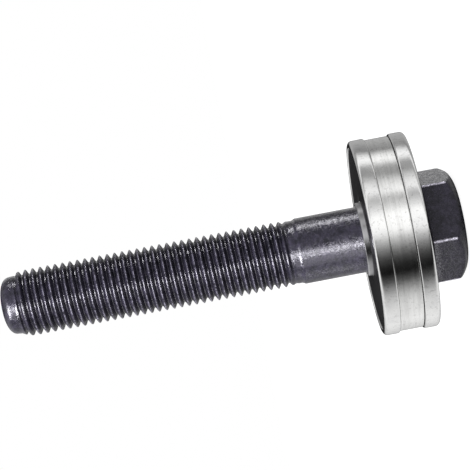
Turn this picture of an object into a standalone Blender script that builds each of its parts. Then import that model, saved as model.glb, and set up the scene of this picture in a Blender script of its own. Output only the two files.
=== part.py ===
"""Draw bolt with a banded ball thrust bearing, standing on its hex head.

Metres, +Z up. The origin is the centre of the head's end face and +Z runs along the bolt's axis
to the threaded tip. Pieces that would touch keep RUNNING_GAP between them.
"""
from math import acos, cos, pi, radians, sin, sqrt, tau

import bmesh
import bpy
from mathutils import Matrix

MM = 0.001
INCH = 25.4 * MM

# Driving dimensions of the bolt: 7/16-20 UNF, right-handed.
THREAD_DIAMETER = 7 / 16 * INCH
THREAD_PITCH = INCH / 20
TOTAL_LENGTH = 78.1 * MM
HEAD_HEIGHT = 6.5 * MM
HEAD_ACROSS_FLATS = 17.0 * MM
HEAD_END_FLAT_RADIUS = 5.8 * MM
HEAD_BLANK_RADIUS = 9.75 * MM
HEAD_CROWN_HEIGHT = 1.9 * MM
WASHER_FACE_RADIUS = 8.0 * MM
WASHER_FACE_HEIGHT = 0.4 * MM
SHANK_END = 27.3 * MM
NECK_DIAMETER = 10.6 * MM
THREAD_START = 28.7 * MM
POINT_LENGTH = 3.3 * MM
NOSE_RADIUS = 4.85 * MM
NOSE_LENGTH = 2.3 * MM
NOSE_BLUNTNESS = 2.6
NOSE_END_RADIUS = 0.8 * MM

# Driving dimensions of the bearing.
RUNNING_GAP = 0.3 * MM
BEARING_WIDTH = 9.45 * MM
BEARING_DIAMETER = 33.1 * MM
BORE_DIAMETER = 11.5 * MM
REAR_RIM_WIDTH = 2.55 * MM
FRONT_RIM_WIDTH = 2.7 * MM
BAND_RECESS = 0.3 * MM
BAND_WALL = 0.9 * MM
SLEEVE_WALL = 0.45 * MM
SLEEVE_STAND = 0.7 * MM
RIM_FILLET = 0.7 * MM
FACE_RECESS = 0.2 * MM
LIP_WIDTH = 1.2 * MM
BALL_COUNT = 14
BALL_DIAMETER = 5 / 32 * INCH
BALL_CIRCLE_RADIUS = 11.2 * MM
RACE_SPACING = 2.7 * MM
CAGE_THICKNESS = 1.2 * MM
CAGE_INNER_RADIUS = 8.6 * MM
CAGE_OUTER_RADIUS = 13.9 * MM

# Sizes that follow from them.
THREAD_RADIUS = THREAD_DIAMETER / 2
THREAD_END = TOTAL_LENGTH - NOSE_LENGTH
THREAD_DEPTH = 0.6134 * THREAD_PITCH
ROOT_RADIUS = THREAD_RADIUS - THREAD_DEPTH
NECK_RADIUS = NECK_DIAMETER / 2
SLEEVE_INNER = BORE_DIAMETER / 2
SLEEVE_OUTER = SLEEVE_INNER + SLEEVE_WALL
RACE_BORE = SLEEVE_OUTER + RUNNING_GAP
RIM_RADIUS = BEARING_DIAMETER / 2
BAND_OUTER = RIM_RADIUS - BAND_RECESS
BAND_INNER = BAND_OUTER - BAND_WALL
SHOULDER_RADIUS = BAND_INNER - RUNNING_GAP
REAR_FACE = HEAD_HEIGHT + RUNNING_GAP
FRONT_FACE = REAR_FACE + BEARING_WIDTH
REAR_SHOULDER = REAR_FACE + REAR_RIM_WIDTH
FRONT_SHOULDER = FRONT_FACE - FRONT_RIM_WIDTH
BALL_PLANE = (REAR_SHOULDER + FRONT_SHOULDER) / 2
REAR_TRACK = BALL_PLANE - RACE_SPACING / 2
FRONT_TRACK = BALL_PLANE + RACE_SPACING / 2
GROOVE_RADIUS = BALL_DIAMETER / 2 + RUNNING_GAP

# How finely the round shapes are divided.
THREAD_SIDES = 16
RING_SIDES = 48
CAGE_SIDES = 4 * BALL_COUNT
FILLET_STEPS = 3
GROOVE_STEPS = 6
CROWN_STEPS = 6
NOSE_STEPS = 6
POCKET_SIDES = 12
BALL_SIDES = 12


def clear_scene():
    for existing in list(bpy.data.objects):
        bpy.data.objects.remove(existing, do_unlink=True)


def make_material(name, colour, roughness, metallic):
    material = bpy.data.materials.new(name)
    material.use_nodes = True
    shader = material.node_tree.nodes["Principled BSDF"]
    shader.inputs["Base Color"].default_value = (*colour, 1.0)
    shader.inputs["Roughness"].default_value = roughness
    shader.inputs["Metallic"].default_value = metallic
    return material


def make_object(name, mesh_source, material, sharp_angle=radians(35)):
    """Turn a bmesh into a smooth-shaded object whose faces point outwards."""
    bmesh.ops.recalc_face_normals(mesh_source, faces=mesh_source.faces)
    mesh = bpy.data.meshes.new(name)
    mesh_source.to_mesh(mesh)
    mesh_source.free()
    mesh.shade_smooth()
    mesh.set_sharp_from_angle(angle=sharp_angle)
    mesh.materials.append(material)
    made = bpy.data.objects.new(name, mesh)
    bpy.context.collection.objects.link(made)
    return made


def make_cutter(name, mesh_source, material):
    cutter = make_object(name, mesh_source, material)
    cutter.hide_render = True
    cutter.display_type = "WIRE"
    return cutter


def add_boolean(target, other, operation):
    modifier = target.modifiers.new(operation.lower(), "BOOLEAN")
    modifier.operation = operation
    modifier.solver = "EXACT"
    modifier.object = other


def arc(centre_r, centre_z, radius, start, end, steps):
    """Outline points (r, z) along an arc; the angles are measured from +r towards +z."""
    angles = [start + (end - start) * step / steps for step in range(steps + 1)]
    return [(centre_r + radius * cos(a), centre_z + radius * sin(a)) for a in angles]


def add_ring(mesh, radius, height, sides):
    return [mesh.verts.new((radius * cos(tau * side / sides), radius * sin(tau * side / sides), height))
            for side in range(sides)]


def bridge(mesh, lower, upper):
    count = len(lower)
    for side in range(count):
        following = (side + 1) % count
        mesh.faces.new((lower[side], lower[following], upper[following], upper[side]))


def turned_ring(outline, sides):
    """A ring turned about Z from a closed outline of (r, z) points."""
    mesh = bmesh.new()
    rings = [add_ring(mesh, radius, height, sides) for radius, height in outline]
    for index, ring in enumerate(rings):
        bridge(mesh, ring, rings[(index + 1) % len(rings)])
    return mesh


def turned_solid(outline, sides):
    """A solid turned about Z from (r, z) points, closed by a flat face at each end."""
    mesh = bmesh.new()
    rings = [add_ring(mesh, radius, height, sides) for radius, height in outline]
    for lower, upper in zip(rings, rings[1:]):
        bridge(mesh, lower, upper)
    mesh.faces.new(list(reversed(rings[0])))
    mesh.faces.new(rings[-1])
    return mesh


# ---------------------------------------------------------------- the bolt

def smooth_step(value):
    clipped = min(max(value, 0.0), 1.0)
    return clipped * clipped * (3 - 2 * clipped)


def point_envelope(height):
    """The largest radius of the thread where it tapers towards the nose."""
    share = min(max((THREAD_END - height) / POINT_LENGTH, 0.0), 1.0)
    return NOSE_RADIUS + (THREAD_RADIUS - NOSE_RADIUS) * sqrt(1 - (1 - share) ** 2)


def thread_radius(height, on_crest):
    """Radius of a crest or root line, faded in at the neck and tapered at the point."""
    cut = THREAD_RADIUS if on_crest else ROOT_RADIUS
    tapered = min(cut, point_envelope(height))
    grown = smooth_step((height - THREAD_START) / (1.3 * THREAD_PITCH))
    return NECK_RADIUS + (tapered - NECK_RADIUS) * grown


def thread_lines(mesh):
    """The helical lines of root and crest, each a row of THREAD_SIDES points for one turn."""
    form = [(0.0, False), (0.4375, True), (0.5625, True)]
    turns = int((THREAD_END - THREAD_START) / THREAD_PITCH)
    lines = []
    for turn in range(turns):
        for phase, on_crest in form:
            line = []
            for side in range(THREAD_SIDES):
                height = THREAD_START + THREAD_PITCH * (turn + phase + side / THREAD_SIDES)
                radius = thread_radius(height, on_crest)
                angle = tau * side / THREAD_SIDES
                line.append(mesh.verts.new((radius * cos(angle), radius * sin(angle), height)))
            lines.append(line)
    return lines, len(form)


def add_thread(mesh, neck_ring, nose_ring):
    """A right-hand helical thread between two plain rings, as one closed strip of faces."""
    lines, lines_per_turn = thread_lines(mesh)
    last = THREAD_SIDES - 1
    for lower, upper in zip(lines, lines[1:]):
        for side in range(last):
            mesh.faces.new((lower[side], lower[side + 1], upper[side + 1], upper[side]))
    for index in range(len(lines) - lines_per_turn - 1):
        next_turn = index + lines_per_turn
        mesh.faces.new((lines[index][last], lines[next_turn][0],
                        lines[next_turn + 1][0], lines[index + 1][last]))
    for side in range(last):
        mesh.faces.new((neck_ring[side], neck_ring[side + 1], lines[0][side + 1], lines[0][side]))
        mesh.faces.new((lines[-1][side], lines[-1][side + 1], nose_ring[side + 1], nose_ring[side]))
    seam = [neck_ring[0]] + [lines[index][0] for index in range(lines_per_turn + 1)]
    mesh.faces.new((neck_ring[last], neck_ring[0], lines[0][last]))
    for below, above in zip(seam, seam[1:]):
        mesh.faces.new((lines[0][last], below, above))
    seam = [lines[len(lines) - lines_per_turn - 1 + index][last] for index in range(lines_per_turn + 1)]
    seam.append(nose_ring[last])
    mesh.faces.new((lines[-1][0], nose_ring[0], nose_ring[last]))
    for below, above in zip(seam, seam[1:]):
        mesh.faces.new((lines[-1][0], above, below))


def nose_outline():
    """Blunt, rounded nose: a superellipse from the end of the thread to a small flat."""
    points = []
    for step in range(NOSE_STEPS + 1):
        share = 1 - (1 - step / NOSE_STEPS) ** 2
        share = 0.03 + 0.97 * share
        radius = NOSE_RADIUS * (1 - share ** NOSE_BLUNTNESS) ** (1 / NOSE_BLUNTNESS)
        points.append((max(radius, NOSE_END_RADIUS), THREAD_END + NOSE_LENGTH * share))
    return points


def shaft_mesh():
    """Washer face, shank, neck, thread and nose, rooted inside the head."""
    mesh = bmesh.new()
    washer_base = HEAD_HEIGHT - 2 * WASHER_FACE_HEIGHT
    outline = [(WASHER_FACE_RADIUS, washer_base), (WASHER_FACE_RADIUS, HEAD_HEIGHT),
               (THREAD_RADIUS, HEAD_HEIGHT), (THREAD_RADIUS, SHANK_END),
               (NECK_RADIUS, SHANK_END + 0.6 * MM), (NECK_RADIUS, THREAD_START - 0.1 * MM)]
    lower_rings = [add_ring(mesh, radius, height, THREAD_SIDES) for radius, height in outline]
    upper_rings = [add_ring(mesh, radius, height, THREAD_SIDES) for radius, height in nose_outline()]
    for rings in (lower_rings, upper_rings):
        for lower, upper in zip(rings, rings[1:]):
            bridge(mesh, lower, upper)
    add_thread(mesh, lower_rings[-1], upper_rings[0])
    mesh.faces.new(list(reversed(lower_rings[0])))
    mesh.faces.new(upper_rings[-1])
    return mesh


def hexagon_mesh():
    """Six-sided prism with two corners on the X axis and two flats facing along Y."""
    corner_radius = HEAD_ACROSS_FLATS / sqrt(3)
    mesh = bmesh.new()
    rings = []
    for height in (0.0, HEAD_HEIGHT - WASHER_FACE_HEIGHT):
        angles = [tau * corner / 6 for corner in range(6)]
        rings.append([mesh.verts.new((corner_radius * cos(a), corner_radius * sin(a), height))
                      for a in angles])
    bridge(mesh, rings[0], rings[1])
    mesh.faces.new(list(reversed(rings[0])))
    mesh.faces.new(rings[1])
    return mesh


def crown_mesh():
    """Turned blank whose parabolic lower edge crowns the corners of the head."""
    outline = []
    for step in range(CROWN_STEPS + 1):
        share = step / CROWN_STEPS
        radius = HEAD_END_FLAT_RADIUS + (HEAD_BLANK_RADIUS - HEAD_END_FLAT_RADIUS) * share
        outline.append((radius, HEAD_CROWN_HEIGHT * share ** 2))
    outline.append((HEAD_BLANK_RADIUS, HEAD_HEIGHT + 1 * MM))
    return turned_solid(outline, RING_SIDES)


def build_bolt(material):
    bolt = make_object("draw_bolt", hexagon_mesh(), material)
    add_boolean(bolt, make_cutter("head_crown_guide", crown_mesh(), material), "INTERSECT")
    add_boolean(bolt, make_cutter("shaft_guide", shaft_mesh(), material), "UNION")
    return bolt


# ---------------------------------------------------------------- the bearing

def ball_groove(towards):
    """Groove from a track's outer edge to its inner one; towards is the middle angle of the arc."""
    reach = acos(RACE_SPACING / 2 / GROOVE_RADIUS)
    turn = reach if towards < 0 else -reach
    return arc(BALL_CIRCLE_RADIUS, BALL_PLANE, GROOVE_RADIUS, towards + turn, towards - turn, GROOVE_STEPS)


def build_rear_race(material):
    """Race beside the head: rear raised rim, shoulder for the band, ball track."""
    outline = [(RACE_BORE, REAR_TRACK), (RACE_BORE, REAR_FACE)]
    outline += arc(RIM_RADIUS - RIM_FILLET, REAR_FACE + RIM_FILLET, RIM_FILLET, -pi / 2, 0, FILLET_STEPS)
    outline += [(RIM_RADIUS, REAR_SHOULDER), (SHOULDER_RADIUS, REAR_SHOULDER),
                (SHOULDER_RADIUS, REAR_TRACK)]
    outline += ball_groove(-pi / 2)
    return make_object("rear_race", turned_ring(outline, RING_SIDES), material)


def build_front_race(material):
    """Race on the thread side: ground thrust face inside a raised lip, front raised rim, ball track."""
    lip_inner = RIM_RADIUS - LIP_WIDTH
    face = FRONT_FACE - FACE_RECESS
    outline = [(RACE_BORE, FRONT_TRACK), (RACE_BORE, face), (lip_inner, face),
               (lip_inner + FACE_RECESS, FRONT_FACE)]
    outline += arc(RIM_RADIUS - RIM_FILLET, FRONT_FACE - RIM_FILLET, RIM_FILLET, pi / 2, 0, FILLET_STEPS)
    outline += [(RIM_RADIUS, FRONT_SHOULDER), (SHOULDER_RADIUS, FRONT_SHOULDER),
                (SHOULDER_RADIUS, FRONT_TRACK)]
    outline += ball_groove(pi / 2)
    return make_object("front_race", turned_ring(outline, RING_SIDES), material)


def build_outer_band(material):
    """Plain steel band recessed between the two raised rims."""
    low = REAR_SHOULDER + RUNNING_GAP
    high = FRONT_SHOULDER - RUNNING_GAP
    edge = BAND_WALL / 6
    outline = [(BAND_INNER, low), (BAND_OUTER - edge, low), (BAND_OUTER, low + edge),
               (BAND_OUTER, high - edge), (BAND_OUTER - edge, high), (BAND_INNER, high)]
    return make_object("outer_band", turned_ring(outline, RING_SIDES), material)


def build_inner_sleeve(material):
    """Thin sleeve in the bore, rounded where it stands proud of the front face."""
    top = FRONT_FACE + SLEEVE_STAND
    lip = SLEEVE_WALL / 2
    outline = [(SLEEVE_INNER, top - lip), (SLEEVE_INNER, REAR_FACE), (SLEEVE_OUTER, REAR_FACE)]
    outline += arc(SLEEVE_INNER + lip, top - lip, lip, 0, pi, FILLET_STEPS)[:-1]
    return make_object("inner_sleeve", turned_ring(outline, RING_SIDES), material)


def pocket_cutter(material):
    """One upright drum for each ball, to cut the cage's pockets."""
    mesh = bmesh.new()
    for index in range(BALL_COUNT):
        angle = tau * index / BALL_COUNT
        centre = (BALL_CIRCLE_RADIUS * cos(angle), BALL_CIRCLE_RADIUS * sin(angle))
        rings = []
        for height in (BALL_PLANE - CAGE_THICKNESS, BALL_PLANE + CAGE_THICKNESS):
            rings.append(add_ring(mesh, GROOVE_RADIUS, height, POCKET_SIDES))
            bmesh.ops.translate(mesh, verts=rings[-1], vec=(*centre, 0))
            bmesh.ops.rotate(mesh, verts=rings[-1], cent=(*centre, 0),
                             matrix=Matrix.Rotation(angle, 3, "Z"))
        bridge(mesh, rings[0], rings[1])
        mesh.faces.new(list(reversed(rings[0])))
        mesh.faces.new(rings[1])
    return make_cutter("pocket_guide", mesh, material)


def build_ball_cage(material):
    """Flat ring between the races with a round pocket for each ball."""
    low = BALL_PLANE - CAGE_THICKNESS / 2
    high = BALL_PLANE + CAGE_THICKNESS / 2
    outline = [(CAGE_INNER_RADIUS, low), (CAGE_OUTER_RADIUS, low),
               (CAGE_OUTER_RADIUS, high), (CAGE_INNER_RADIUS, high)]
    cage = make_object("ball_cage", turned_ring(outline, CAGE_SIDES), material)
    add_boolean(cage, pocket_cutter(material), "DIFFERENCE")
    return cage


def build_balls(material):
    """The ball complement, hung on an empty on the bolt's axis."""
    centre = bpy.data.objects.new("ball_set_axis", None)
    centre.location = (0, 0, BALL_PLANE)
    bpy.context.collection.objects.link(centre)
    for index in range(BALL_COUNT):
        mesh = bmesh.new()
        bmesh.ops.create_uvsphere(mesh, u_segments=BALL_SIDES, v_segments=BALL_SIDES // 2,
                                  radius=BALL_DIAMETER / 2)
        ball = make_object(f"ball_{index + 1:02d}", mesh, material, sharp_angle=pi)
        angle = tau * index / BALL_COUNT
        ball.parent = centre
        ball.location = (BALL_CIRCLE_RADIUS * cos(angle), BALL_CIRCLE_RADIUS * sin(angle), 0)
        ball.rotation_euler = (0, 0, angle)


def main():
    clear_scene()
    black_oxide = make_material("black_oxide_steel", (0.055, 0.052, 0.072), 0.38, 0.85)
    ground_steel = make_material("ground_race_steel", (0.72, 0.72, 0.72), 0.22, 1.0)
    band_steel = make_material("polished_band_steel", (0.78, 0.78, 0.77), 0.16, 1.0)
    sleeve_steel = make_material("sleeve_steel", (0.66, 0.66, 0.67), 0.25, 1.0)
    cage_steel = make_material("cage_steel", (0.55, 0.53, 0.50), 0.35, 1.0)
    ball_steel = make_material("ball_steel", (0.80, 0.80, 0.81), 0.08, 1.0)
    build_bolt(black_oxide)
    build_rear_race(ground_steel)
    build_front_race(ground_steel)
    build_outer_band(band_steel)
    build_inner_sleeve(sleeve_steel)
    build_ball_cage(cage_steel)
    build_balls(ball_steel)


main()
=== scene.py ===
"""Looks of the draw bolt with its banded ball thrust bearing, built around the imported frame.

The bolt stands on its head with its axis on +Z; the camera is rolled, so that the bolt lies across
the picture with the threaded tip at the lower left.
"""
from math import atan2, cos, pi, radians, sin, sqrt, tau

import bmesh
import bpy
from mathutils import Matrix, Vector


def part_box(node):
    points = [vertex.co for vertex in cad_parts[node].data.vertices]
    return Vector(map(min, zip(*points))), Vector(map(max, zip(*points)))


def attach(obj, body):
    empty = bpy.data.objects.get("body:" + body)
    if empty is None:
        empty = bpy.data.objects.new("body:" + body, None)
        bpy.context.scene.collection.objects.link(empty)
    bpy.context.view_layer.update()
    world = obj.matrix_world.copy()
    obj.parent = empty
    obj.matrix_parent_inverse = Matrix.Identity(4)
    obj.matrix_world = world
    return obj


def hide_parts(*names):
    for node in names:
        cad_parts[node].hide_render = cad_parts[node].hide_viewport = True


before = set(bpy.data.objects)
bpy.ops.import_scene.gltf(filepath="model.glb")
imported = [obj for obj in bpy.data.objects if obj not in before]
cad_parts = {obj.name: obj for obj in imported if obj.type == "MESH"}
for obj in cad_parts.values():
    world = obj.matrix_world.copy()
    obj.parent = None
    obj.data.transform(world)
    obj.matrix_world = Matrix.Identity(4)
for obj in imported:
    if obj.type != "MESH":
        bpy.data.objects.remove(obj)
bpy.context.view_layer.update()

MM = 0.001
INCH = 25.4 * MM

# The bolt, from its CAD box and its standard thread.
BOLT_LOW, BOLT_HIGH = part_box("draw_bolt")
TOTAL_LENGTH = BOLT_HIGH[2]
HEAD_ACROSS_FLATS = BOLT_HIGH[1] - BOLT_LOW[1]
HEAD_HEIGHT = 6.5 * MM
HEAD_END_FLAT_RADIUS = 5.8 * MM
HEAD_BLANK_RADIUS = 9.75 * MM
HEAD_CROWN_HEIGHT = 1.9 * MM
HEAD_CORNER_SHARPNESS = 110
HEAD_EDGE_ROUND = 0.35 * MM
WASHER_FACE_RADIUS = 8.0 * MM
WASHER_FACE_HEIGHT = 0.4 * MM
THREAD_RADIUS = 7 / 32 * INCH
THREAD_PITCH = INCH / 20
THREAD_DEPTH = 0.6134 * THREAD_PITCH
ROOT_RADIUS = THREAD_RADIUS - THREAD_DEPTH
SHANK_END = 27.3 * MM
NECK_RADIUS = 5.3 * MM
NECK_RAMP = 0.6 * MM
THREAD_START = 28.7 * MM
POINT_LENGTH = 3.3 * MM
NOSE_RADIUS = 4.85 * MM
NOSE_LENGTH = 2.3 * MM
NOSE_BLUNTNESS = 2.6
THREAD_END = TOTAL_LENGTH - NOSE_LENGTH

# The bearing, from the CAD boxes of its pieces.
FRONT_LOW, FRONT_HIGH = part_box("front_race")
REAR_LOW, REAR_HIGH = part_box("rear_race")
BAND_LOW, BAND_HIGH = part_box("outer_band")
SLEEVE_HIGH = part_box("inner_sleeve")[1]
RIM_RADIUS = FRONT_HIGH[0]
FRONT_FACE = FRONT_HIGH[2]
REAR_FACE = REAR_LOW[2]
RUNNING_GAP = REAR_FACE - HEAD_HEIGHT
BAND_RADIUS = BAND_HIGH[0]
REAR_SHOULDER = BAND_LOW[2] - RUNNING_GAP
FRONT_SHOULDER = BAND_HIGH[2] + RUNNING_GAP
BAND_WALL = 0.9 * MM
SHOULDER_RADIUS = BAND_RADIUS - BAND_WALL - RUNNING_GAP
SLEEVE_OUTER = SLEEVE_HIGH[0]
SLEEVE_WALL = 0.45 * MM
RACE_BORE = SLEEVE_OUTER + 0.08 * MM
FACE_RECESS = 0.2 * MM
LIP_WIDTH = 1.2 * MM
RIM_FILLET = 0.7 * MM
STEP_FILLET = 0.26 * MM
REAR_STEP_FILLET = 0.3 * MM
BALL_CIRCLE_RADIUS = 11.2 * MM
BALL_RADIUS = 5 / 64 * INCH
BALL_PLANE = (REAR_SHOULDER + FRONT_SHOULDER) / 2
GROOVE_RADIUS = 1.05 * BALL_RADIUS

# How the camera stands to the bolt: it looks at a square field, with the bolt lying across it.
SENSOR_WIDTH = 36
VIEW_WIDTH = 78.8 * MM
CAMERA_DISTANCE = 335 * MM
CAMERA_AZIMUTH = radians(-104.5)
CAMERA_ELEVATION = radians(0.2)
BOLT_TILT = radians(10.76)
AIM_HEIGHT = 37.55 * MM
AIM_OFFSET = 4.69 * MM

# The studio round the bolt: (degrees up from the camera's side, brightness) of its soft walls, and
# the plain ceiling, which starts at these values of the upward part of a unit direction.
STUDIO_STRENGTH = 1.35
STUDIO_WALLS = [
    (-180, 0.0), (-172, 0.02), (-164, 0.48), (-151, 0.58), (-125, 0.77), (-92, 0.65), (-79, 0.52),
    (-67, 0.28), (-56, 0.07), (-45, 0.0), (-35, 0.015), (-25, 0.06), (-16, 0.19), (-6, 0.45), (4, 0.9),
    (23, 1.0), (33, 0.65), (43, 0.42), (53, 0.9), (64, 0.68), (76, 0.28), (88, 0.32), (96, 0.8),
    (102, 0.97), (109, 0.75), (120, 0.22), (142, 0.33), (164, 0.36), (172, 0.02), (180, 0.0)]
CEILING_LEVEL = 0.9
CEILING_START = 0.8
CEILING_FULL = 0.98
FLOOR_RADIUS = 4.0
FLOOR_GLOW = 0.93

# Soft lamps for the bolt alone: name, degrees up from the camera's side, height and distance in
# metres, width and length in metres, watts.
BOLT_LAMPS = [
    ("front_strip", -14, 0.06, 0.5, (0.08, 0.5), 9.5),
    ("low_strip", -44, 0.06, 0.5, (0.25, 0.5), 2.4),
    ("under_strip", -91, 0.03, 0.5, (0.3, 0.06), 0.4),
    ("upper_strip", 90, 0.03, 0.5, (0.04, 0.3), 3.2),
    ("back_strip", 149, 0.06, 0.5, (0.2, 0.5), 0.3),
    ("nose_light", -32, 0.48, 0.34, (0.24, 0.24), 20),
]

# How finely the shapes are divided.
RING_COLUMNS = 192
ARC_STEPS = 6
CROWN_STEPS = 9
NOSE_STEPS = 14
GROOVE_STEPS = 10


# ---------------------------------------------------------------- mesh helpers

def smooth_step(value):
    clipped = min(max(value, 0.0), 1.0)
    return clipped * clipped * (3 - 2 * clipped)


def mix(first, second, share):
    return first + (second - first) * share


def arc(centre_r, centre_z, radius, start, end, steps=ARC_STEPS):
    """Outline points (r, z) along an arc; the angles are measured from +r towards +z."""
    angles = [start + (end - start) * step / steps for step in range(steps + 1)]
    return [(centre_r + radius * cos(a), centre_z + radius * sin(a)) for a in angles]


def finish_object(name, mesh_source, sharp_angle=radians(50)):
    """A smooth-shaded object from a bmesh, with sharp edges where faces meet at a steep angle."""
    bmesh.ops.recalc_face_normals(mesh_source, faces=mesh_source.faces)
    mesh = bpy.data.meshes.new(name)
    mesh_source.to_mesh(mesh)
    mesh_source.free()
    mesh.shade_smooth()
    mesh.set_sharp_from_angle(angle=sharp_angle)
    made = bpy.data.objects.new(name, mesh)
    bpy.context.collection.objects.link(made)
    return made


def uniform_angles(count):
    return [tau * index / count for index in range(count)]


def add_ring(mesh, radius_at, height_at, angles):
    """A row of points round Z; radius_at and height_at are numbers or functions of the angle."""
    row = []
    for angle in angles:
        radius = radius_at(angle) if callable(radius_at) else radius_at
        height = height_at(angle) if callable(height_at) else height_at
        row.append(mesh.verts.new((radius * cos(angle), radius * sin(angle), height)))
    return row


def bridge(mesh, lower, upper):
    """Faces between two rows that have the same number of points."""
    count = len(lower)
    for side in range(count):
        following = (side + 1) % count
        mesh.faces.new((lower[side], lower[following], upper[following], upper[side]))


def bridge_all(mesh, rows):
    for lower, upper in zip(rows, rows[1:]):
        bridge(mesh, lower, upper)


def turned_ring(name, outline, columns=RING_COLUMNS):
    """A ring turned about Z from a closed outline of (r, z) points."""
    mesh = bmesh.new()
    angles = uniform_angles(columns)
    rows = [add_ring(mesh, radius, height, angles) for radius, height in outline]
    bridge_all(mesh, rows + rows[:1])
    return finish_object(name, mesh)


# ---------------------------------------------------------------- the bolt

def bolt_angles():
    """Columns round the bolt, close together at the six corners of the head."""
    near = [0.6, 1.2, 1.9, 2.8, 4.0]
    offsets = [-offset for offset in reversed(near)] + [0.0] + near + list(range(6, 55, 4))
    return [radians(60 * corner + offset) % tau for corner in range(6) for offset in offsets]


def hexagon_radius(angle):
    """Outline of the head with slightly rounded corners."""
    total = 0.0
    for side in range(6):
        facing = cos(angle - radians(30 + 60 * side))
        if facing > 0:
            total += facing ** HEAD_CORNER_SHARPNESS
    sharp = HEAD_ACROSS_FLATS / 2 * total ** (-1 / HEAD_CORNER_SHARPNESS)
    return min(sharp, HEAD_BLANK_RADIUS)


def crown_height(radius):
    """Height of the parabolic crown over the end face."""
    share = (radius - HEAD_END_FLAT_RADIUS) / (HEAD_BLANK_RADIUS - HEAD_END_FLAT_RADIUS)
    return HEAD_CROWN_HEIGHT * max(share, 0.0) ** 2


def head_rows(mesh, angles):
    """Rows from the end face over the crown, up the flats and in to the washer face."""
    rows = [add_ring(mesh, share * HEAD_END_FLAT_RADIUS, 0.0, angles) for share in (0.5, 0.94)]
    for step in range(CROWN_STEPS + 1):
        share = step / CROWN_STEPS

        def crown_radius(angle, share=share):
            return mix(HEAD_END_FLAT_RADIUS, hexagon_radius(angle) - HEAD_EDGE_ROUND, share)
        rows.append(add_ring(mesh, crown_radius, lambda a, r=crown_radius: crown_height(r(a)), angles))
    for step in range(1, ARC_STEPS + 1):
        share = step / ARC_STEPS

        def round_radius(angle, share=share):
            return hexagon_radius(angle) - HEAD_EDGE_ROUND * (1 - share) ** 2

        def round_height(angle, share=share):
            edge = hexagon_radius(angle)
            start = crown_height(edge - HEAD_EDGE_ROUND)
            corner = crown_height(edge)
            end = corner + HEAD_EDGE_ROUND
            return (1 - share) ** 2 * start + 2 * share * (1 - share) * corner + share ** 2 * end
        rows.append(add_ring(mesh, round_radius, round_height, angles))
    prism_top = HEAD_HEIGHT - WASHER_FACE_HEIGHT
    edge = 0.25 * MM
    for share in (0.25, 0.5, 0.75, 1.0):
        rows.append(add_ring(mesh, hexagon_radius,
                             lambda a, s=share: mix(crown_height(hexagon_radius(a)) + HEAD_EDGE_ROUND,
                                                    prism_top - edge, s), angles))
    for turn in (30, 60, 90):
        inset = edge * (1 - cos(radians(turn)))
        rise = edge * sin(radians(turn))
        rows.append(add_ring(mesh, lambda a, i=inset: hexagon_radius(a) - i, prism_top - edge + rise, angles))
    bevel = 0.1 * MM
    for radius, height in [(WASHER_FACE_RADIUS, prism_top), (WASHER_FACE_RADIUS, HEAD_HEIGHT - bevel),
                           (WASHER_FACE_RADIUS - bevel, HEAD_HEIGHT)]:
        rows.append(add_ring(mesh, radius, height, angles))
    return rows


def thread_form(phase):
    """Height of the rolled thread above its root, from 0 to 1, over one pitch."""
    flank = min(max((abs(phase - 0.5) * 2 - 0.125) / 0.75, 0.0), 1.0)
    return 1 - flank + 0.04 * sin(tau * flank)


def point_envelope(height):
    """Radius that the thread may reach where the crests fade towards the nose."""
    share = min(max((THREAD_END - height) / POINT_LENGTH, 0.0), 1.0)
    return NOSE_RADIUS + (THREAD_RADIUS - NOSE_RADIUS) * sqrt(1 - (1 - share) ** 2)


def nose_radius(height):
    """Blunt, rounded nose: a superellipse beyond the end of the thread."""
    share = min(max((height - THREAD_END) / NOSE_LENGTH, 0.0), 1.0)
    return NOSE_RADIUS * (1 - share ** NOSE_BLUNTNESS) ** (1 / NOSE_BLUNTNESS)


def shaft_radius(height, phase):
    """Shank, relief neck, thread and nose, as one surface."""
    neck = mix(THREAD_RADIUS, NECK_RADIUS, smooth_step((height - SHANK_END) / NECK_RAMP))
    cut = ROOT_RADIUS + THREAD_DEPTH * thread_form(phase)
    threaded = min(cut, point_envelope(height))
    run_out = smooth_step((height - THREAD_START + 0.5 * THREAD_PITCH) / (2.4 * THREAD_PITCH))
    body = mix(neck, threaded, run_out)
    return mix(body, nose_radius(height), smooth_step((height - THREAD_END + THREAD_PITCH) / THREAD_PITCH))


def helical_rows(mesh, angles, start, end):
    """Rows that follow the right-hand helix, so that crest and root run along the faces."""
    phases = [0.0, 0.06, 0.15, 0.29, 0.42, 0.46, 0.5, 0.54, 0.58, 0.71, 0.85, 0.94]
    turns = int((end - start) / THREAD_PITCH) - 1
    rows = []
    for turn in range(turns):
        for phase in phases:
            row = []
            for angle in angles:
                height = start + THREAD_PITCH * (turn + phase + angle / tau)
                radius = shaft_radius(height, phase)
                row.append(mesh.verts.new((radius * cos(angle), radius * sin(angle), height)))
            rows.append(row)
    return rows, len(phases)


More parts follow.
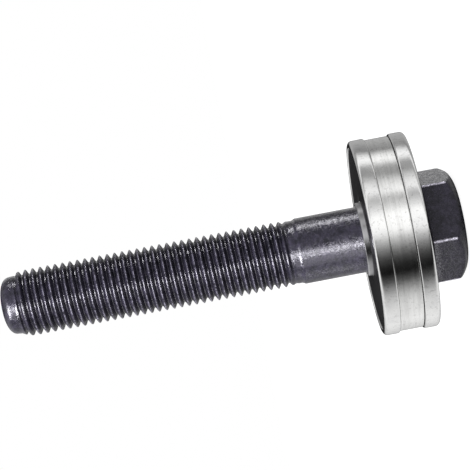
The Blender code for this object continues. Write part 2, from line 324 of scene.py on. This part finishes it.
def add_helix(mesh, angles, below, above, start, end):
    """Fills the space between the plain rings below and above with one spiral strip of faces.

    The strip joins itself one turn further on, and a fan of triangles closes it at each end, where
    the last column meets the first.
    """
    rows, per_turn = helical_rows(mesh, angles, start, end)
    last = len(angles) - 1
    for lower, upper in zip(rows, rows[1:]):
        for side in range(last):
            mesh.faces.new((lower[side], lower[side + 1], upper[side + 1], upper[side]))
    for index in range(len(rows) - per_turn - 1):
        following = index + per_turn
        mesh.faces.new((rows[index][last], rows[following][0], rows[following + 1][0], rows[index + 1][last]))
    for side in range(last):
        mesh.faces.new((below[side], below[side + 1], rows[0][side + 1], rows[0][side]))
        mesh.faces.new((rows[-1][side], rows[-1][side + 1], above[side + 1], above[side]))
    seam = [below[0]] + [rows[index][0] for index in range(per_turn + 1)]
    mesh.faces.new((below[last], below[0], rows[0][last]))
    for lower, upper in zip(seam, seam[1:]):
        mesh.faces.new((rows[0][last], lower, upper))
    seam = [rows[len(rows) - per_turn - 1 + index][last] for index in range(per_turn + 1)]
    seam.append(above[last])
    mesh.faces.new((rows[-1][0], above[0], above[last]))
    for lower, upper in zip(seam, seam[1:]):
        mesh.faces.new((rows[-1][0], upper, lower))


def nose_outline(start):
    """The rounded end of the nose, from a height on its side to a small flat."""
    points = []
    flat_radius = 0.8 * MM
    first = (start - THREAD_END) / NOSE_LENGTH
    for step in range(NOSE_STEPS + 1):
        share = 1 - (1 - first) * (1 - step / NOSE_STEPS) ** 2
        height = THREAD_END + NOSE_LENGTH * share
        points.append((max(nose_radius(height), flat_radius), height))
    return points


def build_bolt():
    mesh = bmesh.new()
    angles = sorted(bolt_angles())
    rows = head_rows(mesh, angles)
    fillet = 0.12 * MM
    for radius, height in [(THREAD_RADIUS + fillet, HEAD_HEIGHT), (THREAD_RADIUS, HEAD_HEIGHT + fillet),
                           (THREAD_RADIUS, SHANK_END - 2.6 * MM)]:
        rows.append(add_ring(mesh, radius, height, angles))
    helix_end = THREAD_END + 0.3 * NOSE_LENGTH
    nose = [add_ring(mesh, radius, height, angles) for radius, height in nose_outline(helix_end)]
    bridge_all(mesh, rows)
    bridge_all(mesh, nose)
    turns = int((helix_end - SHANK_END + 2.4 * MM) / THREAD_PITCH)
    helix_start = helix_end - THREAD_PITCH * (turns + 0.02)
    add_helix(mesh, angles, rows[-1], nose[0], helix_start, helix_end)
    mesh.faces.new(list(reversed(rows[0])))
    mesh.faces.new(nose[-1])
    return finish_object("bolt_forging", mesh)


# ---------------------------------------------------------------- the bearing

def ball_groove(track_height, towards):
    """Outline of the ball track in a race, seen from the ball; towards is the race's direction."""
    reach = BALL_PLANE - track_height
    half = pi / 2 - atan2(abs(reach), sqrt(GROOVE_RADIUS ** 2 - reach ** 2))
    turn = half if towards < 0 else -half
    return arc(BALL_CIRCLE_RADIUS, BALL_PLANE, GROOVE_RADIUS, towards + turn, towards - turn, GROOVE_STEPS)


def build_front_race():
    """Thrust face inside a raised lip, rounded front rim and a soft step down to the band."""
    lip_inner = RIM_RADIUS - LIP_WIDTH
    face = FRONT_FACE - FACE_RECESS
    step_base = FRONT_SHOULDER - 0.02 * MM
    track = FRONT_LOW[2]
    bevel = 0.15 * MM
    lip_fillet = 0.1 * MM
    outline = [(RACE_BORE, track), (RACE_BORE, face - bevel), (RACE_BORE + bevel, face)]
    outline += [(mix(RACE_BORE, lip_inner, share), face) for share in (0.2, 0.4, 0.6, 0.8)]
    outline += arc(lip_inner, face + lip_fillet, lip_fillet, -pi / 2, 0, 3)
    outline += arc(lip_inner + 2 * lip_fillet, FRONT_FACE - lip_fillet, lip_fillet, pi, pi / 2, 3)
    outline += arc(RIM_RADIUS - RIM_FILLET, FRONT_FACE - RIM_FILLET, RIM_FILLET, pi / 2, 0)
    outline += arc(RIM_RADIUS - STEP_FILLET, step_base + STEP_FILLET, STEP_FILLET, 0, -pi / 2, 4)
    outline += [(SHOULDER_RADIUS, step_base), (SHOULDER_RADIUS, track)]
    outline += ball_groove(track, pi / 2)
    return turned_ring("front_race_turned", outline)


def build_rear_race():
    """Rear rim with a large round at the face and a small one at the step down to the band."""
    track = REAR_HIGH[2]
    step = REAR_SHOULDER + 0.1 * MM
    bevel = 0.2 * MM
    outline = [(RACE_BORE, track), (RACE_BORE, REAR_FACE + bevel), (RACE_BORE + bevel, REAR_FACE)]
    outline += arc(RIM_RADIUS - RIM_FILLET, REAR_FACE + RIM_FILLET, RIM_FILLET, -pi / 2, 0)
    outline += arc(RIM_RADIUS - REAR_STEP_FILLET, step - REAR_STEP_FILLET, REAR_STEP_FILLET, 0, pi / 2)
    outline += [(SHOULDER_RADIUS, step), (SHOULDER_RADIUS, track)]
    outline += ball_groove(track, -pi / 2)
    return turned_ring("rear_race_turned", outline)


def build_band():
    """Rolled steel band, recessed between the rims, with a narrow running groove at the rear."""
    low = REAR_SHOULDER + 0.2 * MM
    high = FRONT_SHOULDER - 0.04 * MM
    edge = 0.14 * MM
    inner = BAND_RADIUS - BAND_WALL
    outline = [(inner, low), (BAND_RADIUS - edge, low)]
    outline += arc(BAND_RADIUS - edge, low + edge, edge, -pi / 2, 0, 4)[1:]
    outline += arc(BAND_RADIUS - edge, high - edge, edge, 0, pi / 2, 4)
    outline += [(inner, high)]
    return turned_ring("outer_band_rolled", outline)


def build_sleeve():
    """Drawn sleeve with a rounded end that stands proud of the thrust face."""
    top = SLEEVE_HIGH[2]
    inner = SLEEVE_OUTER - SLEEVE_WALL
    lip = SLEEVE_WALL / 2
    outline = [(inner, REAR_FACE), (SLEEVE_OUTER, REAR_FACE)]
    outline += arc(inner + lip, top - lip, lip, 0, pi, 8)
    return turned_ring("inner_sleeve_drawn", outline)


# ---------------------------------------------------------------- materials

# Noise scales are in repeats per metre.

class Nodes:
    """Short way to add and link the nodes of one tree."""

    def __init__(self, tree):
        self.tree = tree

    def add(self, kind, **settings):
        node = self.tree.nodes.new(kind)
        for key, value in settings.items():
            setattr(node, key, value)
        return node

    def link(self, output, target):
        self.tree.links.new(output, target)

    def coordinates(self, scale=(1, 1, 1)):
        place = self.add("ShaderNodeTexCoord")
        mapping = self.add("ShaderNodeMapping")
        mapping.inputs["Scale"].default_value = scale
        self.link(place.outputs["Object"], mapping.inputs["Vector"])
        return mapping.outputs["Vector"]

    def noise(self, vector, scale, detail=4.0, roughness=0.55):
        node = self.add("ShaderNodeTexNoise")
        node.inputs["Scale"].default_value = scale
        node.inputs["Detail"].default_value = detail
        node.inputs["Roughness"].default_value = roughness
        self.link(vector, node.inputs["Vector"])
        return node.outputs["Fac"]

    def ramp(self, value, stops):
        """Colour ramp from (position, colour) stops."""
        node = self.add("ShaderNodeValToRGB")
        elements = node.color_ramp.elements
        while len(elements) < len(stops):
            elements.new(0.5)
        for element, (position, colour) in zip(elements, stops):
            element.position = position
            element.color = (*colour, 1.0)
        self.link(value, node.inputs["Fac"])
        return node.outputs["Color"]

    def range(self, value, low, high, new_low, new_high):
        node = self.add("ShaderNodeMapRange")
        for key, number in (("From Min", low), ("From Max", high), ("To Min", new_low), ("To Max", new_high)):
            node.inputs[key].default_value = number
        self.link(value, node.inputs["Value"])
        return node.outputs["Result"]

    def math(self, operation, first, second):
        node = self.add("ShaderNodeMath", operation=operation)
        for socket, value in zip(node.inputs, (first, second)):
            if isinstance(value, (int, float)):
                socket.default_value = value
            else:
                self.link(value, socket)
        return node.outputs["Value"]

    def blend(self, share, first, second):
        node = self.add("ShaderNodeMix", data_type="RGBA")
        for key, value in (("Factor", share), ("A", first), ("B", second)):
            socket = [s for s in node.inputs if s.name == key and s.enabled][0]
            if isinstance(value, tuple):
                socket.default_value = (*value, 1.0)
            elif isinstance(value, (int, float)):
                socket.default_value = value
            else:
                self.link(value, socket)
        return [s for s in node.outputs if s.enabled][0]

    def bump(self, height, distance, strength=1.0, normal=None):
        node = self.add("ShaderNodeBump")
        node.inputs["Strength"].default_value = strength
        node.inputs["Distance"].default_value = distance
        self.link(height, node.inputs["Height"])
        if normal is not None:
            self.link(normal, node.inputs["Normal"])
        return node.outputs["Normal"]

    def distance_from_axis(self):
        place = self.add("ShaderNodeTexCoord")
        flat = self.add("ShaderNodeVectorMath", operation="MULTIPLY")
        flat.inputs[1].default_value = (1, 1, 0)
        length = self.add("ShaderNodeVectorMath", operation="LENGTH")
        self.link(place.outputs["Object"], flat.inputs[0])
        self.link(flat.outputs["Vector"], length.inputs[0])
        return length.outputs["Value"]

    def height(self):
        place = self.add("ShaderNodeTexCoord")
        split = self.add("ShaderNodeSeparateXYZ")
        self.link(place.outputs["Object"], split.inputs[0])
        return split.outputs["Z"]


class MaterialNodes(Nodes):
    """The nodes of a new material, with its main shader."""

    def __init__(self, name):
        self.material = bpy.data.materials.new(name)
        self.material.use_nodes = True
        super().__init__(self.material.node_tree)
        self.shader = self.tree.nodes["Principled BSDF"]


def black_oxide():
    """Oiled black-oxide steel: blue-violet black, speckled, with thread crests and head corners painted
    lighter, partly as wear and partly as a painted highlight.
    """
    n = MaterialNodes("oiled_black_oxide")
    vector = n.coordinates()
    mottle = n.noise(vector, 900, 5.0, 0.65)
    fine = n.noise(vector, 2100, 3.0, 0.75)
    tone = n.ramp(mottle, [(0.35, (0.002, 0.002, 0.003)), (0.68, (0.009, 0.008, 0.013))])
    radius = n.distance_from_axis()
    height = n.height()
    in_thread = n.range(height, SHANK_END, THREAD_START, 0.0, 1.0)
    crest = n.range(radius, THREAD_RADIUS - 0.05 * MM, THREAD_RADIUS - 0.01 * MM, 0.0, 1.0)
    on_shaft = n.range(radius, THREAD_RADIUS + 0.02 * MM, THREAD_RADIUS + 0.06 * MM, 1.0, 0.0)
    # Thread crests are painted lighter: partly wear, partly a painted highlight along the crest lines.
    crest_wear_and_highlight = n.math("MULTIPLY", n.math("MULTIPLY", crest, on_shaft), n.range(fine, 0.42, 0.62, 0.0, 0.8))
    crest_wear_and_highlight = n.math("MULTIPLY", crest_wear_and_highlight, in_thread)
    # The head's corner edges are painted lighter: partly rubbed wear, partly a painted highlight along the
    # edges.
    corner = n.range(radius, HEAD_BLANK_RADIUS - 0.10 * MM, HEAD_BLANK_RADIUS - 0.01 * MM, 0.0, 1.0)
    corner = n.math("MULTIPLY", corner, n.range(mottle, 0.35, 0.6, 0.3, 1.0))
    shaded = n.blend(crest_wear_and_highlight, tone, (0.055, 0.052, 0.068))
    n.link(n.blend(corner, shaded, (0.24, 0.23, 0.27)), n.shader.inputs["Base Color"])
    rough = n.range(fine, 0.40, 0.60, 0.14, 0.40)
    n.link(n.math("SUBTRACT", rough, n.math("MULTIPLY", in_thread, 0.05)), n.shader.inputs["Roughness"])
    n.shader.inputs["Metallic"].default_value = 0.0
    n.shader.inputs["Specular IOR Level"].default_value = 0.36
    n.shader.inputs["IOR"].default_value = 1.38
    n.shader.inputs["Specular Tint"].default_value = (0.92, 0.90, 1.0, 1.0)
    n.shader.inputs["Coat Weight"].default_value = 0.04
    n.shader.inputs["Coat Roughness"].default_value = 0.2
    coarse_normal = n.bump(mottle, 0.08 * MM, 0.7)
    n.link(n.bump(fine, 0.065 * MM, 0.8, coarse_normal), n.shader.inputs["Normal"])
    return n.material


def add_turning_marks(n, depth):
    """Fine marks that run round the bolt's axis, with the spread reflection that they give."""
    marks = n.noise(n.coordinates((60, 60, 9000)), 1.0, 4.0, 0.6)
    n.shader.inputs["Metallic"].default_value = 1.0
    n.shader.inputs["Anisotropic"].default_value = 0.3
    n.shader.inputs["Anisotropic Rotation"].default_value = 0.25
    tangent = n.add("ShaderNodeTangent", direction_type="RADIAL", axis="Z")
    n.link(tangent.outputs["Tangent"], n.shader.inputs["Tangent"])
    waves = n.noise(n.coordinates(), 420, 4.0, 0.7)
    n.link(n.bump(marks, depth, 0.5, n.bump(waves, 0.025 * MM, 0.5)), n.shader.inputs["Normal"])


def soft_clouds(n):
    return n.noise(n.coordinates(), 260, 4.0, 0.6)


def stained(n, tone):
    """The tone with small dull stains."""
    stain = n.range(n.noise(n.coordinates(), 1500, 5.0, 0.75), 0.55, 0.72, 0.0, 0.5)
    return n.blend(stain, tone, (0.22, 0.21, 0.21))


def turned_steel(name, colour, roughness, mark_depth):
    """Bright steel turned or rolled about the bolt's axis."""
    n = MaterialNodes(name)
    broad = n.noise(n.coordinates((90, 90, 1800)), 1.0, 3.0, 0.6)
    cloud = soft_clouds(n)
    low = tuple(0.86 * channel for channel in colour)
    tone = n.ramp(broad, [(0.35, low), (0.6, colour)])
    n.link(stained(n, tone), n.shader.inputs["Base Color"])
    n.link(n.range(cloud, 0.3, 0.7, 0.8 * roughness, 1.3 * roughness), n.shader.inputs["Roughness"])
    add_turning_marks(n, mark_depth)
    return n.material


def race_steel():
    """Race steel: bright rims, and a thrust face painted near-black as a painted dark reflection, with
    concentric facing marks.
    """
    n = MaterialNodes("turned_race_steel")
    radius = n.distance_from_axis()
    cloud = soft_clouds(n)
    across = n.add("ShaderNodeCombineXYZ")
    n.link(radius, across.inputs["X"])
    facing = n.noise(across.outputs["Vector"], 5200, 3.0, 0.7)
    painted_reflection_mottle = n.noise(n.coordinates(), 190, 5.0, 0.6)
    bright = n.ramp(cloud, [(0.3, (0.68, 0.68, 0.68)), (0.7, (0.80, 0.80, 0.79))])
    bright_race_tone = stained(n, bright)
    # The thrust face's tone is a painted dark reflection: near-black and mottled, with lighter concentric
    # facing marks.
    painted_reflection_tone = n.ramp(painted_reflection_mottle, [(0.35, (0.018, 0.018, 0.021)), (0.7, (0.034, 0.034, 0.038))])
    painted_dark_face = n.blend(n.range(facing, 0.45, 0.65, 0.0, 0.5), painted_reflection_tone, (0.085, 0.085, 0.09))
    lip_inner = RIM_RADIUS - LIP_WIDTH
    inside_lip = n.range(radius, lip_inner - 0.25 * MM, lip_inner + 0.05 * MM, 1.0, 0.0)
    face = FRONT_FACE - FACE_RECESS
    on_face = n.range(n.height(), face - 0.05 * MM, face, 0.0, 1.0)
    # Mask of the thrust face inside the lip, where the painted dark reflection goes; it also raises the
    # roughness there.
    painted_reflection_mask = n.math("MULTIPLY", inside_lip, on_face)
    n.link(n.blend(painted_reflection_mask, bright_race_tone, painted_dark_face), n.shader.inputs["Base Color"])
    polished = n.range(cloud, 0.3, 0.7, 0.12, 0.2)
    n.link(n.math("ADD", polished, n.math("MULTIPLY", painted_reflection_mask, 0.3)), n.shader.inputs["Roughness"])
    add_turning_marks(n, 0.002 * MM)
    return n.material


# ---------------------------------------------------------------- studio

def camera_axes():
    """Right, up and backward directions of the rolled camera."""
    backward = Vector((cos(CAMERA_ELEVATION) * cos(CAMERA_AZIMUTH),
                       cos(CAMERA_ELEVATION) * sin(CAMERA_AZIMUTH), sin(CAMERA_ELEVATION)))
    level_right = Vector((-sin(CAMERA_AZIMUTH), cos(CAMERA_AZIMUTH), 0))
    level_up = backward.cross(level_right)
    roll = -pi / 2 - BOLT_TILT
    right = cos(roll) * level_right + sin(roll) * level_up
    up = -sin(roll) * level_right + cos(roll) * level_up
    return right, up, backward


def build_camera():
    right, up, backward = camera_axes()
    sideways = cos(BOLT_TILT) * up - sin(BOLT_TILT) * right
    aim = Vector((0, 0, AIM_HEIGHT)) + AIM_OFFSET * sideways
    data = bpy.data.cameras.new("camera")
    data.sensor_width = SENSOR_WIDTH
    data.lens = CAMERA_DISTANCE / VIEW_WIDTH * SENSOR_WIDTH
    data.clip_start = 0.01
    camera = bpy.data.objects.new("camera", data)
    place = Matrix((right, up, backward)).transposed().to_4x4()
    place.translation = aim + backward * CAMERA_DISTANCE
    camera.matrix_world = place
    bpy.context.collection.objects.link(camera)
    bpy.context.scene.camera = camera


def build_world():
    """White to the camera; to reflections, soft white and dark walls that stand round the bolt."""
    world = bpy.data.worlds.new("studio")
    bpy.context.scene.world = world
    world.use_nodes = True
    n = Nodes(world.node_tree)
    n.tree.nodes.clear()
    place = n.add("ShaderNodeTexCoord")
    turned = n.add("ShaderNodeVectorRotate", rotation_type="Z_AXIS")
    turned.inputs["Angle"].default_value = -CAMERA_AZIMUTH
    n.link(place.outputs["Generated"], turned.inputs["Vector"])
    split = n.add("ShaderNodeSeparateXYZ")
    n.link(turned.outputs["Vector"], split.inputs[0])
    angle = n.math("ARCTAN2", split.outputs["Y"], split.outputs["X"])
    stops = [((turn + 180) / 360, (level, level, level)) for turn, level in STUDIO_WALLS]
    level = n.ramp(n.range(angle, -pi, pi, 0.0, 1.0), stops)
    overhead = n.range(split.outputs["Z"], CEILING_START, CEILING_FULL, 0.0, 1.0)
    room = n.add("ShaderNodeBackground")
    room.inputs["Strength"].default_value = STUDIO_STRENGTH
    n.link(n.blend(overhead, level, (CEILING_LEVEL, CEILING_LEVEL, CEILING_LEVEL)), room.inputs["Color"])
    white = n.add("ShaderNodeBackground")
    white.inputs["Color"].default_value = (1, 1, 1, 1)
    seen = n.add("ShaderNodeLightPath")
    choice = n.add("ShaderNodeMixShader")
    n.link(seen.outputs["Is Camera Ray"], choice.inputs["Fac"])
    n.link(room.outputs["Background"], choice.inputs[1])
    n.link(white.outputs["Background"], choice.inputs[2])
    output = n.add("ShaderNodeOutputWorld")
    n.link(choice.outputs["Shader"], output.inputs["Surface"])


def build_floor():
    """Pale paper that glows a little, so that it stays white; reflections don't show it."""
    mesh = bmesh.new()
    bmesh.ops.create_circle(mesh, cap_ends=True, segments=64, radius=FLOOR_RADIUS)
    floor = finish_object("floor", mesh)
    n = MaterialNodes("floor_paper")
    grain = n.noise(n.coordinates(), 30)
    paper = n.ramp(grain, [(0.3, (0.30, 0.30, 0.30)), (0.7, (0.32, 0.32, 0.32))])
    n.link(paper, n.shader.inputs["Base Color"])
    n.shader.inputs["Roughness"].default_value = 1.0
    n.shader.inputs["Specular IOR Level"].default_value = 0.0
    n.shader.inputs["Emission Color"].default_value = (1, 1, 1, 1)
    n.shader.inputs["Emission Strength"].default_value = FLOOR_GLOW
    floor.data.materials.append(n.material)
    floor.visible_glossy = False


def build_lamp(receiver, name, turn, height, distance, size, power):
    """A soft lamp aimed at the middle of the bolt, which lights the receiver alone."""
    angle = CAMERA_AZIMUTH + radians(turn)
    data = bpy.data.lights.new(name, "AREA")
    data.shape = "RECTANGLE"
    data.size, data.size_y = size
    data.energy = power
    light = bpy.data.objects.new(name, data)
    light.location = (distance * cos(angle), distance * sin(angle), height)
    aim = Vector((0, 0, AIM_HEIGHT)) - light.location
    light.rotation_euler = aim.to_track_quat("-Z", "Y").to_euler()
    bpy.context.collection.objects.link(light)
    light.visible_camera = False
    receivers = bpy.data.collections.new(name + "_receivers")
    receivers.objects.link(receiver)
    light.light_linking.receiver_collection = receivers


# ---------------------------------------------------------------- putting it together

def place_piece(piece, body, nodes, material):
    """Gives the piece its material, its moving body and the CAD nodes that it stands for."""
    piece.data.materials.append(material)
    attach(piece, body)
    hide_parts(*nodes)
    return piece


def finish_ball_set():
    """The hidden cage and balls keep their CAD shapes and get their steels."""
    cage = turned_steel("pressed_cage_steel", (0.55, 0.53, 0.50), 0.35, 0.002 * MM)
    ball = turned_steel("lapped_ball_steel", (0.82, 0.82, 0.83), 0.08, 0.0005 * MM)
    for name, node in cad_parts.items():
        if name.startswith("ball_"):
            node.data.materials.clear()
            node.data.materials.append(cage if name == "ball_cage" else ball)


def main():
    bpy.context.scene.view_settings.view_transform = "Standard"
    build_camera()
    build_world()
    build_floor()
    oxide = black_oxide()
    race = race_steel()
    band = turned_steel("polished_band_steel", (0.80, 0.80, 0.79), 0.16, 0.002 * MM)
    drawn = turned_steel("drawn_sleeve_steel", (0.45, 0.45, 0.46), 0.28, 0.002 * MM)
    bolt = place_piece(build_bolt(), "bolt", ["draw_bolt"], oxide)
    place_piece(build_front_race(), "front_ring", ["front_race"], race)
    place_piece(build_rear_race(), "rear_ring", ["rear_race"], race)
    place_piece(build_band(), "front_ring", ["outer_band"], band)
    place_piece(build_sleeve(), "rear_ring", ["inner_sleeve"], drawn)
    finish_ball_set()
    for lamp in BOLT_LAMPS:
        build_lamp(bolt, *lamp)


main()
